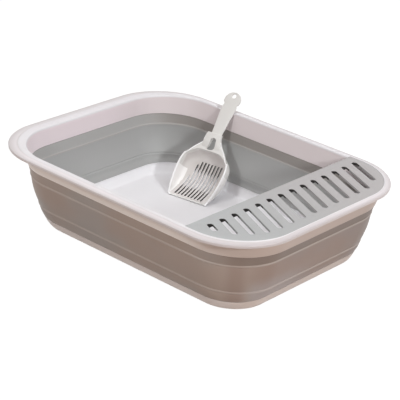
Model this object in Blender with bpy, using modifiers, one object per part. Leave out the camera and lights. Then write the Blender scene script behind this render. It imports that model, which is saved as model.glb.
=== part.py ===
"""A folding litter tray: a stiff rim and a stiff base pan joined by a soft wall that folds flat,
a slotted step that lifts off one end, and a two-piece scoop that leans in a notch of the rim.

Metres, +Z up. The origin is on the ground under the middle of the rim, +X points to the step end,
and the far long side, where the scoop leans, is at +Y."""

import math
from collections import namedtuple

import bmesh
import bpy
import numpy as np
from mathutils import Matrix, Vector

# Clearances
GAP = 0.0003
CUT_OVERRUN = 0.004

# Rim: a collar round the mouth, a raised ridge, and a flange that ends in a turned-down lip
RIM_LENGTH = 0.500
RIM_WIDTH = 0.383
RIM_CORNER = 0.094
MOUTH_CORNER = 0.082
SIDE_FLANGE = 0.0162
PLAIN_END_FLANGE = 0.0295
STEP_END_FLANGE = 0.0115
RIDGE_SHARE = 0.54
RIDGE_RISE = 0.0016
RIDGE_EDGE = 0.0015
MOUTH_DEPTH = 0.005
FLANGE_FALL = 0.0012
FLANGE_THICKNESS = 0.0024
LIP_DEPTH = 0.0042
LIP_THICKNESS = 0.0022
COLLAR_HEIGHT = 0.029
COLLAR_THICKNESS = 0.003
COLLAR_END_DRAFT = 0.003
COLLAR_SIDE_DRAFT = 0.0063
COLLAR_LEAN = -0.002
UNDERSIDE_SHARE = 1 / 3
LIP_ROOT_SHARE = 1.5
# Pairs of shares: how far in from the edge, and how far up from the foot or down from the head
LIP_FOOT_SHARES = ((1.0, 1 / 3), (2 / 3, 0.0), (1 / 3, 0.0), (0.0, 1 / 3))
LIP_HEAD_SHARES = ((0.0, 2 / 3), (1 / 3, 1 / 6), (1.0, 0.0))
RIDGE_SHOULDER_SHARES = ((0.7, 1 / 3), (1.6, 0.0))
MOUTH_EDGE_SHARES = ((1.9, 0.0), (0.9, 1 / 3), (1 / 3, 1.0))

# Soft wall, from the collar down: an upper band, a sloping middle band and a lower band
WALL_THICKNESS = 0.0022
FOLD_BEAD = 0.0007
UPPER_BAND_HEIGHT = 0.0155
UPPER_BAND_END_INSET = 0.0068
UPPER_BAND_SIDE_INSET = 0.0035
UPPER_FOLD_CORNER = 0.076
UPPER_BAND_KNEE_SHARE = 0.75
MIDDLE_BAND_HEIGHT = 0.0455
MIDDLE_BAND_END_INSET = 0.0107
MIDDLE_BAND_SIDE_INSET = 0.0122
MIDDLE_BAND_BOW = 0.0022
MIDDLE_BAND_SHARES = (0.08, 0.3, 0.5, 0.7, 0.92)
LOWER_FOLD_CORNER = 0.066
LOWER_BAND_HEIGHT = 0.016
LOWER_BAND_END_INSET = 0.0089
LOWER_BAND_SIDE_INSET = 0.0034
LOWER_BAND_BOW = 0.0011
LOWER_BAND_SHARES = (0.25, 0.5, 0.75)
SEAM_CORNER = 0.059
WALL_LEAN = 0.003
UPPER_LEAN_SHARE = 1 / 6
MIDDLE_LEAN_SHARE = 1 / 3
LOWER_LEAN_SHARE = 0.77
LAP_HEIGHT = 0.0033

# Base pan
PAN_HEIGHT = 0.015
PAN_FLOOR = 0.0032
PAN_WALL = 0.0026
PAN_TUCK = 0.010
PAN_LEAN = 0.002
PAN_CORNER = 0.052
PAN_CURVE_SHARES = (0.0, 0.2, 0.45, 0.7)

# Step: a slotted plate let into the rim, with a turned-down front edge
STEP_DEPTH = 0.103
STEP_THICKNESS = 0.0035
STEP_LEDGE = 0.004
STEP_SLOTS = 14
SLOT_PITCH_SHARE = 0.0677
SLOT_WIDTH = 0.0086
SLOT_START_MARGIN = 0.0195
SLOT_END_MARGIN = 0.0202
SLOT_SIDE_MARGIN = 0.0118
SLOT_FIELD_CORNER = 0.075
SLOT_FIELD_OFFSET = 0.005
SLOT_SLANT = math.radians(-26.0)
SLOT_ROW_OFFSET = 0.0058
STEP_EDGE_DROP = 0.0133
STEP_EDGE_THICKNESS = 0.0026
STEP_EDGE_CLEARANCE = 0.0012

# Notch of the rim, where the scoop's handle leans
NOTCH_LENGTH = 0.040
NOTCH_FROM_MIDDLE = 0.109
NOTCH_SINK = 0.0004
NOTCH_REACH = 0.012
NOTCH_CORNER = 0.005

# Scoop: a basin with a shelf and a socket behind it, and a flat handle that plugs into the socket
SCOOP_WALL = 0.0018
SCOOP_FRONT_WIDTH = 0.065
SCOOP_WIDTH = 0.0800
SCOOP_WIDEST_AT = 0.050
SHELF_END_WIDTH = 0.0324
SHELF_END = 0.0985
BASIN_DEPTH = 0.022
BASIN_ENTRY = 0.046
BASIN_BACK = 0.084
BASIN_BACK_DEPTH = 0.013
BASIN_BACK_CURVE = 0.0135
SCOOP_SLOTS = 9
SCOOP_SLOT_PITCH = 0.006
SCOOP_SLOT_WIDTH = 0.0028
SCOOP_SLOT_START = 0.0045
SCOOP_SLOT_END = 0.0705
SCOOP_SLOT_END_STEP = 0.009
SOCKET_START = 0.0885
SOCKET_END = 0.1134
SOCKET_END_LEFT = 0.0142
SOCKET_END_RIGHT = 0.0103
SOCKET_WALL = 0.0014
SOCKET_DEPTH = 0.0066
SOCKET_SHARES = (0.0, 0.25, 0.5, 0.7, 0.85, 0.95, 1.0)
WINDOW_WIDTH = 0.0084
WINDOW_START = 0.0865
WINDOW_LENGTH = 0.0195
HANDLE_THICKNESS = 0.0026
HANDLE_NECK_WIDTH = 0.0182
HANDLE_END_WIDTH = 0.0248
HANDLE_WIDEST_AT = 0.160
HANDLE_WAIST_WIDTH = 0.0220
HANDLE_WAIST_AT = 0.1656
HANDLE_DISC_AT = 0.1723
HANDLE_DISC_RADIUS = 0.0143
HANDLE_DISC_OPENING = math.radians(17.5)
HANG_HOLE_RADIUS = 0.003
HANG_HOLE_OFFSET = 0.0080
SCOOP_REACH = 0.104
SCOOP_TURN = math.radians(8.4)
SCOOP_SIDE_STEP = 0.0056

# Counts of segments
CORNER_STEPS = 9
ROUND_STEPS = 8
BASIN_ROWS = 26
BASIN_COLUMNS = 22
SLOT_SAMPLES = 600

# Exponents of the curves
PAN_CURVE_POWER = 1.68
BASIN_SECTION_POWER = 5.0
BASIN_BACK_POWER = 2.6
BASIN_BACK_CURVE_POWER = 6.0
SHELF_OUTLINE_POWER = 2.7
SHELF_LANDING_POWER = 1.35
SOCKET_LEFT_POWER = 4.0
SOCKET_RIGHT_POWER = 2.0

# How the meshes are finished
MERGE_DISTANCE = 0.00003
SHARP_ANGLE = math.radians(32.0)

Ring = namedtuple("Ring", "half_length half_width corner shift height")


def clear_scene():
    for obj in list(bpy.data.objects):
        bpy.data.objects.remove(obj, do_unlink=True)


def new_collection(name):
    collection = bpy.data.collections.new(name)
    bpy.context.scene.collection.children.link(collection)
    return collection


def plastic(name, colour, roughness):
    """A Principled material of one colour."""
    material = bpy.data.materials.new(name)
    material.use_nodes = True
    shader = material.node_tree.nodes["Principled BSDF"]
    shader.inputs["Base Color"].default_value = (*colour, 1.0)
    shader.inputs["Roughness"].default_value = roughness
    shader.inputs["Metallic"].default_value = 0.0
    return material


def inset(ring, end_inset, side_inset, corner, lean, drop):
    """The next ring down: drawn in, moved along X by lean and lowered."""
    return Ring(
        ring.half_length - end_inset,
        ring.half_width - side_inset,
        corner,
        ring.shift + lean,
        ring.height - drop,
    )


def grown(ring, distance, height=None):
    """The ring offset outwards all round, at another height if one is given."""
    return Ring(
        ring.half_length + distance,
        ring.half_width + distance,
        ring.corner + distance,
        ring.shift,
        ring.height if height is None else height,
    )


def between(first, second, share, height=None):
    """The ring that lies this share of the way from the first to the second."""
    mixed = Ring(*(a + (b - a) * share for a, b in zip(first, second)))
    return mixed if height is None else mixed._replace(height=height)


def bowed(first, second, bow, shares):
    """Rings from the first to the second that bulge outwards between them."""
    return [grown(between(first, second, share), bow * math.sin(math.pi * share)) for share in shares]


def outline(ring):
    """The rounded rectangle's points, anticlockwise seen from above."""
    points = []
    for quarter, (across, along) in enumerate(((1, 1), (-1, 1), (-1, -1), (1, -1))):
        centre = (
            ring.shift + across * (ring.half_length - ring.corner),
            along * (ring.half_width - ring.corner),
        )
        for step in range(CORNER_STEPS + 1):
            angle = math.pi / 2 * (quarter + step / CORNER_STEPS)
            x = centre[0] + ring.corner * math.cos(angle)
            points.append((x, centre[1] + ring.corner * math.sin(angle)))
    return points


def link(name, mesh, collection, material=None):
    """Makes an object of the mesh, shaded smooth except at its sharp edges."""
    mesh.shade_smooth()
    mesh.set_sharp_from_angle(angle=SHARP_ANGLE)
    obj = bpy.data.objects.new(name, mesh)
    collection.objects.link(obj)
    if material:
        mesh.materials.append(material)
    else:
        obj.hide_render = True
        obj.display_type = "WIRE"
    return obj


def loft(name, rings, collection, material, capped=False):
    """Joins rings of like points with faces. The last ring meets the first, or both ends are capped."""
    shape = bmesh.new()
    rows = [[shape.verts.new((x, y, ring.height)) for x, y in outline(ring)] for ring in rings]
    pairs = list(zip(rows, rows[1:]))
    if not capped:
        pairs.append((rows[-1], rows[0]))
    for row, following in pairs:
        for i in range(len(row)):
            j = (i + 1) % len(row)
            shape.faces.new((row[i], row[j], following[j], following[i]))
    if capped:
        shape.faces.new(rows[0])
        shape.faces.new(reversed(rows[-1]))
    bmesh.ops.recalc_face_normals(shape, faces=shape.faces)
    mesh = bpy.data.meshes.new(name)
    shape.to_mesh(mesh)
    shape.free()
    return link(name, mesh, collection, material)


def prism(name, outlines, low, high, collection, material=None):
    """Extrudes flat outlines from low to high. Each outline makes its own closed body."""
    shape = bmesh.new()
    for points in outlines:
        bottom = [shape.verts.new((x, y, low)) for x, y in points]
        top = [shape.verts.new((x, y, high)) for x, y in points]
        shape.faces.new(reversed(bottom))
        shape.faces.new(top)
        for i in range(len(points)):
            j = (i + 1) % len(points)
            shape.faces.new((bottom[i], bottom[j], top[j], top[i]))
    bmesh.ops.recalc_face_normals(shape, faces=shape.faces)
    mesh = bpy.data.meshes.new(name)
    shape.to_mesh(mesh)
    shape.free()
    return link(name, mesh, collection, material)


def stadium(start, end, width):
    """The outline of a slot of this width with round ends, whose end arcs are centred on start and end."""
    start, end = Vector(start), Vector(end)
    heading = math.atan2(end.y - start.y, end.x - start.x)
    points = []
    for centre, turn in ((end, -math.pi / 2), (start, math.pi / 2)):
        for step in range(ROUND_STEPS + 1):
            angle = heading + turn + math.pi * step / ROUND_STEPS
            points.append((centre.x + width / 2 * math.cos(angle), centre.y + width / 2 * math.sin(angle)))
    return points


def flat_plate(name, outlines, thickness, collection, material):
    """A plate whose first outline is its edge and whose others are its holes, centred on its own plane."""
    curve = bpy.data.curves.new(name, "CURVE")
    curve.dimensions = "2D"
    curve.fill_mode = "BOTH"
    curve.extrude = thickness / 2
    for points in outlines:
        spline = curve.splines.new("POLY")
        spline.points.add(len(points) - 1)
        for point, (x, y) in zip(spline.points, points):
            point.co = (x, y, 0.0, 1.0)
        spline.use_cyclic_u = True
    guide = bpy.data.objects.new(name + "_outline", curve)
    collection.objects.link(guide)
    graph = bpy.context.evaluated_depsgraph_get()
    mesh = bpy.data.meshes.new_from_object(guide.evaluated_get(graph))
    bpy.data.objects.remove(guide, do_unlink=True)
    bpy.data.curves.remove(curve)
    mesh.name = name
    shape = bmesh.new()
    shape.from_mesh(mesh)
    bmesh.ops.remove_doubles(shape, verts=shape.verts, dist=MERGE_DISTANCE)
    bmesh.ops.recalc_face_normals(shape, faces=shape.faces)
    shape.to_mesh(mesh)
    shape.free()
    mesh.materials.clear()
    return link(name, mesh, collection, material)


def boolean(obj, other, operation):
    modifier = obj.modifiers.new(other.name, "BOOLEAN")
    modifier.operation = operation
    modifier.solver = "EXACT"
    modifier.object = other


# Rings that the pieces share, from the mouth down
TOP = PAN_HEIGHT + LOWER_BAND_HEIGHT + MIDDLE_BAND_HEIGHT + UPPER_BAND_HEIGHT + COLLAR_HEIGHT
lip_ring = Ring(RIM_LENGTH / 2, RIM_WIDTH / 2, RIM_CORNER, 0.0, TOP - RIDGE_RISE - FLANGE_FALL)
mouth_ring = Ring(
    (RIM_LENGTH - PLAIN_END_FLANGE - STEP_END_FLANGE) / 2,
    RIM_WIDTH / 2 - SIDE_FLANGE,
    MOUTH_CORNER,
    (PLAIN_END_FLANGE - STEP_END_FLANGE) / 2,
    TOP - MOUTH_DEPTH,
)
collar_ring = inset(
    grown(mouth_ring, COLLAR_THICKNESS),
    COLLAR_END_DRAFT,
    COLLAR_SIDE_DRAFT,
    MOUTH_CORNER,
    COLLAR_LEAN,
    COLLAR_HEIGHT - MOUTH_DEPTH,
)
upper_fold = inset(
    collar_ring,
    UPPER_BAND_END_INSET,
    UPPER_BAND_SIDE_INSET,
    UPPER_FOLD_CORNER,
    WALL_LEAN * UPPER_LEAN_SHARE,
    UPPER_BAND_HEIGHT,
)
lower_fold = inset(
    upper_fold,
    MIDDLE_BAND_END_INSET,
    MIDDLE_BAND_SIDE_INSET,
    LOWER_FOLD_CORNER,
    WALL_LEAN * MIDDLE_LEAN_SHARE,
    MIDDLE_BAND_HEIGHT,
)
seam_ring = inset(
    lower_fold,
    LOWER_BAND_END_INSET,
    LOWER_BAND_SIDE_INSET,
    SEAM_CORNER,
    WALL_LEAN * LOWER_LEAN_SHARE,
    LOWER_BAND_HEIGHT,
)
foot_ring = inset(seam_ring, PAN_TUCK, PAN_TUCK, PAN_CORNER, PAN_LEAN, PAN_HEIGHT)
step_ring = grown(mouth_ring, STEP_LEDGE, TOP)
step_edge_x = mouth_ring.shift + mouth_ring.half_length + STEP_LEDGE - STEP_DEPTH


def rim_rings():
    """The rim's section, from the collar's foot up its outer side, round the lip, over the ridge and down."""
    ridge_level = TOP - RIDGE_RISE
    under = ridge_level - FLANGE_THICKNESS
    ridge_foot = between(mouth_ring, lip_ring, RIDGE_SHARE, ridge_level)
    collar_head = grown(mouth_ring, COLLAR_THICKNESS, TOP - MOUTH_DEPTH - COLLAR_THICKNESS)
    lip_low = lip_ring.height - LIP_DEPTH
    foot = [
        grown(lip_ring, -LIP_THICKNESS * inward, lip_low + LIP_THICKNESS * up)
        for inward, up in LIP_FOOT_SHARES
    ]
    head = [
        grown(lip_ring, -LIP_THICKNESS * inward, lip_ring.height - LIP_THICKNESS * down)
        for inward, down in LIP_HEAD_SHARES
    ]
    shoulder = [
        grown(ridge_foot, -RIDGE_EDGE * inward, TOP - RIDGE_EDGE * down)
        for inward, down in RIDGE_SHOULDER_SHARES
    ]
    edge = [
        grown(mouth_ring, RIDGE_EDGE * outward, TOP - RIDGE_EDGE * down)
        for outward, down in MOUTH_EDGE_SHARES
    ]
    return [
        collar_ring,
        collar_head,
        between(mouth_ring, lip_ring, RIDGE_SHARE, under - FLANGE_THICKNESS * UNDERSIDE_SHARE),
        grown(lip_ring, -LIP_THICKNESS * LIP_ROOT_SHARE, under - FLANGE_FALL),
        *foot,
        *head,
        ridge_foot,
        *shoulder,
        *edge,
        mouth_ring,
        grown(collar_ring, -COLLAR_THICKNESS),
    ]


def step_outline(margin):
    """The step plate's outline: the step end of its ring, cut straight across and grown by margin."""
    edge_x = step_edge_x - margin
    kept = [(x, y) for x, y in outline(grown(step_ring, margin)) if x > edge_x]
    half_width = step_ring.half_width + margin
    upper = [point for point in kept if point[1] > 0.0]
    lower = [point for point in kept if point[1] < 0.0]
    return [(edge_x, -half_width), *lower, *upper, (edge_x, half_width)]


def inside(ring, x, y):
    """Whether a point is inside the rounded rectangle."""
    across = abs(x - ring.shift) - (ring.half_length - ring.corner)
    along = abs(y) - (ring.half_width - ring.corner)
    outside = math.hypot(max(across, 0.0), max(along, 0.0))
    return outside + min(max(across, along), 0.0) < ring.corner


def step_slots():
    """Slanted slots in a row across the plate. Each one ends where it comes within the margin of an edge."""
    field = inset(step_ring, SLOT_END_MARGIN, SLOT_SIDE_MARGIN, SLOT_FIELD_CORNER, 0.0, 0.0)
    start_x = step_edge_x + SLOT_START_MARGIN
    run = field.shift + field.half_length - start_x
    pitch = 2 * step_ring.half_width * SLOT_PITCH_SHARE
    slots = []
    for i in range(STEP_SLOTS):
        start_y = SLOT_ROW_OFFSET + pitch * (i - (STEP_SLOTS - 1) / 2)
        axis = [
            (start_x + run * share, start_y + run * share * math.tan(SLOT_SLANT))
            for share in np.linspace(0.0, 1.0, SLOT_SAMPLES)
        ]
        axis = [(x, y) for x, y in axis if inside(field, x, y - SLOT_FIELD_OFFSET)]
        if len(axis) > 1 and math.dist(axis[0], axis[-1]) > SLOT_WIDTH:
            slots.append(stadium(axis[0], axis[-1], SLOT_WIDTH))
    return slots


def build_rim(parts, cutters, white):
    rim = loft("rim_frame", rim_rings(), parts, white)
    rebate = prism(
        "step_rebate", [step_outline(GAP)], TOP - STEP_THICKNESS - GAP, TOP + CUT_OVERRUN, cutters
    )
    notch_y = mouth_ring.half_width + NOTCH_REACH / 2
    notch = Ring(
        NOTCH_LENGTH / 2,
        NOTCH_REACH / 2 + NOTCH_CORNER,
        NOTCH_CORNER,
        mouth_ring.shift - NOTCH_FROM_MIDDLE,
        0.0,
    )
    notch_points = [(x, y + notch_y - NOTCH_CORNER) for x, y in outline(notch)]
    notch_cutter = prism(
        "handle_notch", [notch_points], TOP - RIDGE_RISE - NOTCH_SINK, TOP + CUT_OVERRUN, cutters
    )
    boolean(rim, rebate, "DIFFERENCE")
    boolean(rim, notch_cutter, "DIFFERENCE")


def build_wall(parts, grey):
    """The three bands of the wall, which meet at the folds and lap over the base pan at the seam."""
    inner_upper = grown(upper_fold, -WALL_THICKNESS)
    inner_lower = grown(lower_fold, -WALL_THICKNESS)
    collar_inner = grown(collar_ring, -COLLAR_THICKNESS)
    knee = between(collar_ring, upper_fold, UPPER_BAND_KNEE_SHARE)
    loft(
        "wall_upper_band",
        [
            grown(collar_ring, 0.0, collar_ring.height - GAP),
            knee,
            grown(upper_fold, FOLD_BEAD, upper_fold.height + FOLD_BEAD),
            grown(upper_fold, FOLD_BEAD, upper_fold.height + GAP / 2),
            grown(inner_upper, 0.0, upper_fold.height + GAP / 2),
            grown(knee, -WALL_THICKNESS),
            grown(collar_inner, 0.0, collar_ring.height - GAP),
        ],
        parts,
        grey,
    )
    middle = bowed(lower_fold, upper_fold, MIDDLE_BAND_BOW, MIDDLE_BAND_SHARES)
    loft(
        "wall_middle_band",
        [
            grown(lower_fold, FOLD_BEAD, lower_fold.height + GAP / 2),
            *middle,
            grown(upper_fold, FOLD_BEAD, upper_fold.height - GAP / 2),
            grown(inner_upper, 0.0, upper_fold.height - GAP / 2),
            *[grown(ring, -WALL_THICKNESS) for ring in reversed(middle)],
            grown(inner_lower, 0.0, lower_fold.height + GAP / 2),
        ],
        parts,
        grey,
    )
    lower = bowed(seam_ring, lower_fold, LOWER_BAND_BOW, LOWER_BAND_SHARES)
    lap = grown(seam_ring, -PAN_WALL / 2)
    loft(
        "wall_lower_band",
        [
            grown(seam_ring, 0.0, seam_ring.height + GAP),
            *lower,
            grown(lower_fold, FOLD_BEAD, lower_fold.height - FOLD_BEAD),
            grown(lower_fold, FOLD_BEAD, lower_fold.height - GAP / 2),
            grown(inner_lower, 0.0, lower_fold.height - GAP / 2),
            *[grown(ring, -WALL_THICKNESS) for ring in reversed(lower)],
            grown(seam_ring, -PAN_WALL, seam_ring.height + LAP_HEIGHT + GAP),
            grown(lap, GAP, seam_ring.height + LAP_HEIGHT + GAP),
            grown(lap, GAP, seam_ring.height + GAP),
        ],
        parts,
        grey,
    )


def build_base(parts, white):
    """A shallow pan with a flat bottom, a tucked-in foot and an inner leg that the wall laps over."""
    lap = grown(seam_ring, -PAN_WALL / 2)
    inner = grown(seam_ring, -PAN_WALL)
    outer = [
        between(foot_ring, seam_ring, share, PAN_HEIGHT * share**PAN_CURVE_POWER)
        for share in PAN_CURVE_SHARES
    ]
    rise = PAN_HEIGHT - PAN_FLOOR
    hollow = [
        between(foot_ring, inner, share, PAN_FLOOR + rise * share**PAN_CURVE_POWER)
        for share in reversed(PAN_CURVE_SHARES)
    ]
    loft(
        "base_pan",
        [
            *outer,
            seam_ring,
            lap,
            grown(lap, 0.0, seam_ring.height + LAP_HEIGHT),
            grown(inner, 0.0, seam_ring.height + LAP_HEIGHT),
            inner,
            *hollow,
        ],
        parts,
        white,
        capped=True,
    )


def build_step(parts, cutters, light_grey):
    """The slotted plate, centred on its own plane, with its turned-down front edge joined on."""
    step = flat_plate("step_grid", [step_outline(0.0), *step_slots()], STEP_THICKNESS, parts, light_grey)
    step.location.z = TOP - STEP_THICKNESS / 2
    half = mouth_ring.half_width - COLLAR_SIDE_DRAFT - STEP_EDGE_CLEARANCE
    near = step_edge_x + STEP_EDGE_THICKNESS
    edge = prism(
        "step_edge",
        [[(step_edge_x, -half), (near, -half), (near, half), (step_edge_x, half)]],
        TOP - STEP_THICKNESS - STEP_EDGE_DROP,
        TOP - STEP_THICKNESS / 2,
        cutters,
    )
    boolean(step, edge, "UNION")


def scoop_frame():
    """The scoop's place: X across it, Y along it to the handle's end, Z out of the basin.

    Its front edge rests on the pan's floor, and the handle's lower side on the inner edge of the notch."""
    rise = TOP - RIDGE_RISE - NOTCH_SINK - PAN_FLOOR - GAP - SCOOP_WALL
    lean = math.atan2(rise, SCOOP_REACH)
    low_side = HANDLE_END_WIDTH / 2 * math.tan(SCOOP_TURN) * math.sin(lean)
    lean += math.asin((HANDLE_THICKNESS / 2 + GAP + low_side) / math.hypot(rise, SCOOP_REACH))
    contact = Vector(
        (
            mouth_ring.shift - NOTCH_FROM_MIDDLE + SCOOP_SIDE_STEP,
            mouth_ring.half_width + RIDGE_EDGE / 3,
            PAN_FLOOR + GAP + SCOOP_WALL,
        )
    )
    turned = Matrix.Rotation(SCOOP_TURN, 4, "Z")
    place = contact - turned @ Vector((0.0, SCOOP_REACH, 0.0))
    return Matrix.Translation(place) @ turned @ Matrix.Rotation(lean, 4, "X")


def scoop_half_width(along):
    """Half the scoop's width at this distance from its front edge, up to the shelf's end."""
    if along < SCOOP_WIDEST_AT:
        back = (SCOOP_WIDEST_AT - along) / SCOOP_WIDEST_AT
        return (SCOOP_WIDTH - (SCOOP_WIDTH - SCOOP_FRONT_WIDTH) * back**2) / 2
    on = min((along - SCOOP_WIDEST_AT) / (SHELF_END - SCOOP_WIDEST_AT), 1.0)
    left = (1 - on**SHELF_OUTLINE_POWER) ** SHELF_LANDING_POWER
    return (SHELF_END_WIDTH + (SCOOP_WIDTH - SHELF_END_WIDTH) * left) / 2


def basin_depth(along, across_share):
    """How far the basin's floor lies below the shelf, at the middle of a section."""
    entry = math.sin(math.pi / 2 * min(along / BASIN_ENTRY, 1.0))
    back = BASIN_BACK - BASIN_BACK_CURVE * abs(across_share) ** BASIN_BACK_CURVE_POWER
    rise = min(max((along - back + BASIN_BACK_DEPTH) / BASIN_BACK_DEPTH, 0.0), 1.0)
    return BASIN_DEPTH * entry * (1 - rise**BASIN_BACK_POWER) ** (1 / BASIN_BACK_POWER)


def basin_row(along):
    """One section of the basin and shelf, as points from its left edge to its right edge."""
    half = scoop_half_width(along)
    row = []
    for j in range(BASIN_COLUMNS + 1):
        angle = math.pi * j / BASIN_COLUMNS
        across = -math.copysign(abs(math.cos(angle)) ** (2 / BASIN_SECTION_POWER), math.cos(angle))
        if 2 * j == BASIN_COLUMNS:
            across = 0.0
        section = max(math.sin(angle), 0.0) ** (2 / BASIN_SECTION_POWER)
        row.append((half * across, along, -basin_depth(along, across) * section))
    return row


def basin_shell(place, parts, off_white):
    """The basin and its shelf, as a sheet thickened to the scoop's wall."""
    shape = bmesh.new()
    rows = []
    for i in range(BASIN_ROWS + 1):
        rows.append([shape.verts.new(point) for point in basin_row(SHELF_END * i / BASIN_ROWS)])
    for row, following in zip(rows, rows[1:]):
        for j in range(BASIN_COLUMNS):
            shape.faces.new((row[j], row[j + 1], following[j + 1], following[j]))
    mesh = bpy.data.meshes.new("scoop_basin")
    shape.to_mesh(mesh)
    shape.free()
    basin = link("scoop_basin", mesh, parts, off_white)
    basin.matrix_world = place
    wall = basin.modifiers.new("Wall", "SOLIDIFY")
    wall.thickness = SCOOP_WALL
    wall.offset = -1.0
    return basin


def bar(name, sections, collection):
    """A closed bar along Y. Each section is its place, left side, right side, underside and top."""
    shape = bmesh.new()
    rows = []
    for along, left, right, low, high in sections:
        corners = ((left, low), (right, low), (right, high), (left, high))
        rows.append([shape.verts.new((x, along, z)) for x, z in corners])
    for row, following in zip(rows, rows[1:]):
        for i in range(4):
            j = (i + 1) % 4
            shape.faces.new((row[i], row[j], following[j], following[i]))
    shape.faces.new(rows[0])
    shape.faces.new(reversed(rows[-1]))
    bmesh.ops.recalc_face_normals(shape, faces=shape.faces)
    mesh = bpy.data.meshes.new(name)
    shape.to_mesh(mesh)
    shape.free()
    return link(name, mesh, collection)


def socket_bar(deck, cutters):
    """The socket: it rises out of the shelf, keeps its width on the left and draws in on the right."""
    half = SHELF_END_WIDTH / 2
    sections = [(SOCKET_START, -half, half, -SCOOP_WALL, 0.0)]
    for share in SOCKET_SHARES:
        left = half - (half - SOCKET_END_LEFT) * share**SOCKET_LEFT_POWER
        right = SOCKET_END_RIGHT + (half - SOCKET_END_RIGHT) * (1 - share) ** SOCKET_RIGHT_POWER
        sections.append((SHELF_END + (SOCKET_END - SHELF_END) * share, -left, right, -deck, deck))
    return bar("socket_block", sections, cutters)


def scoop_slots(cutters):
    """The slots of the basin: straight, parallel, and shorter at the two sides."""
    slots = []
    start = SCOOP_SLOT_START + SCOOP_SLOT_WIDTH / 2
    for i in range(SCOOP_SLOTS):
        across = SCOOP_SLOT_PITCH * (i - (SCOOP_SLOTS - 1) / 2)
        end = SCOOP_SLOT_END - SCOOP_SLOT_END_STEP * (i in (0, SCOOP_SLOTS - 1)) - SCOOP_SLOT_WIDTH / 2
        slots.append(stadium((across, start), (across, end), SCOOP_SLOT_WIDTH))
    return prism("scoop_slots", slots, -BASIN_DEPTH - CUT_OVERRUN, CUT_OVERRUN, cutters)


def neck_window(deck, cutters):
    """The oblong window through the neck, in front of the socket."""
    first = (0.0, WINDOW_START + WINDOW_WIDTH / 2)
    last = (0.0, WINDOW_START + WINDOW_LENGTH - WINDOW_WIDTH / 2)
    outlines = [stadium(first, last, WINDOW_WIDTH)]
    return prism("neck_window", outlines, -deck - CUT_OVERRUN, deck + CUT_OVERRUN, cutters)


def handle_pocket(cutters):
    """The pocket in the socket's end that the handle plugs into."""
    half = HANDLE_NECK_WIDTH / 2 + GAP
    side = HANDLE_THICKNESS / 2 + GAP
    ends = (SOCKET_END - SOCKET_DEPTH, SOCKET_END + CUT_OVERRUN)
    return bar("handle_pocket", [(along, -half, half, -side, side) for along in ends], cutters)


def build_scoop(parts, cutters, off_white):
    place = scoop_frame()
    deck = HANDLE_THICKNESS / 2 + GAP + SOCKET_WALL
    basin = basin_shell(place, parts, off_white)
    socket = socket_bar(deck, cutters)
    cuts = [scoop_slots(cutters), neck_window(deck, cutters), handle_pocket(cutters)]
    for tool in (socket, *cuts):
        tool.matrix_world = place
    boolean(basin, socket, "UNION")
    for cut in cuts:
        boolean(basin, cut, "DIFFERENCE")
    build_handle(place, parts, off_white)


def circle_points(radius, along, first, last, steps):
    """Points of an arc about the scoop's middle line, from the first angle to the last."""
    angles = [first + (last - first) * step / steps for step in range(steps + 1)]
    return [(radius * math.cos(angle), along + radius * math.sin(angle)) for angle in angles]


def build_handle(place, parts, off_white):
    """A flat strip that widens, narrows to a waist and ends in a disc with a hanging hole."""
    tail = SOCKET_END - SOCKET_DEPTH + GAP
    neck = HANDLE_NECK_WIDTH / 2
    wide = HANDLE_END_WIDTH / 2
    waist = HANDLE_WAIST_WIDTH / 2
    right = [(neck, tail), (neck, SOCKET_END), (wide, HANDLE_WIDEST_AT), (waist, HANDLE_WAIST_AT)]
    left = [(-x, y) for x, y in reversed(right)]
    first = -HANDLE_DISC_OPENING
    disc = circle_points(HANDLE_DISC_RADIUS, HANDLE_DISC_AT, first, math.pi - first, 4 * ROUND_STEPS)
    hole_at = HANDLE_DISC_AT + HANG_HOLE_OFFSET
    hole = circle_points(HANG_HOLE_RADIUS, hole_at, 0.0, 2 * math.pi, 2 * ROUND_STEPS)[:-1]
    outlines = [[*right, *disc, *left], hole]
    handle = flat_plate("scoop_handle", outlines, HANDLE_THICKNESS, parts, off_white)
    handle.matrix_world = place


def main():
    clear_scene()
    parts = new_collection("folding_litter_tray")
    cutters = new_collection("cutters")
    cutters.hide_render = True
    white = plastic("white_plastic", (0.84, 0.82, 0.82), 0.38)
    grey = plastic("grey_soft_plastic", (0.36, 0.34, 0.32), 0.55)
    light_grey = plastic("light_grey_plastic", (0.52, 0.50, 0.50), 0.45)
    off_white = plastic("off_white_plastic", (0.70, 0.69, 0.66), 0.4)
    build_rim(parts, cutters, white)
    build_wall(parts, grey)
    build_base(parts, white)
    build_step(parts, cutters, light_grey)
    build_scoop(parts, cutters, off_white)


main()
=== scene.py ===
import math
from collections import namedtuple

import bmesh
import bpy
import numpy as np
from mathutils import Matrix, Vector


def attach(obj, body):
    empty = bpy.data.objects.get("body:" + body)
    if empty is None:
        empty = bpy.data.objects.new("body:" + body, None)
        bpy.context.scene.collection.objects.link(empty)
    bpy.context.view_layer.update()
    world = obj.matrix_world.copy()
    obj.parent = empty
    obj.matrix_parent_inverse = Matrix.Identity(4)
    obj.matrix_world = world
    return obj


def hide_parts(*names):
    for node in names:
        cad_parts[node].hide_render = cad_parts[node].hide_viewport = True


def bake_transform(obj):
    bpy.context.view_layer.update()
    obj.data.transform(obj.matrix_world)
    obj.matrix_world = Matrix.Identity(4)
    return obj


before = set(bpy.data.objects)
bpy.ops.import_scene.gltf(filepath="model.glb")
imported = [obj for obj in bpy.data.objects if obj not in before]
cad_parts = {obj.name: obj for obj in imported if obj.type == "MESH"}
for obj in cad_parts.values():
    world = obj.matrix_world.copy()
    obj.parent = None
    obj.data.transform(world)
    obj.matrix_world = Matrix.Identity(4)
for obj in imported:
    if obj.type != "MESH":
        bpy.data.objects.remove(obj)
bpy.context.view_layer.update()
scene = bpy.context.scene
scene.view_settings.view_transform = "Standard"

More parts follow.
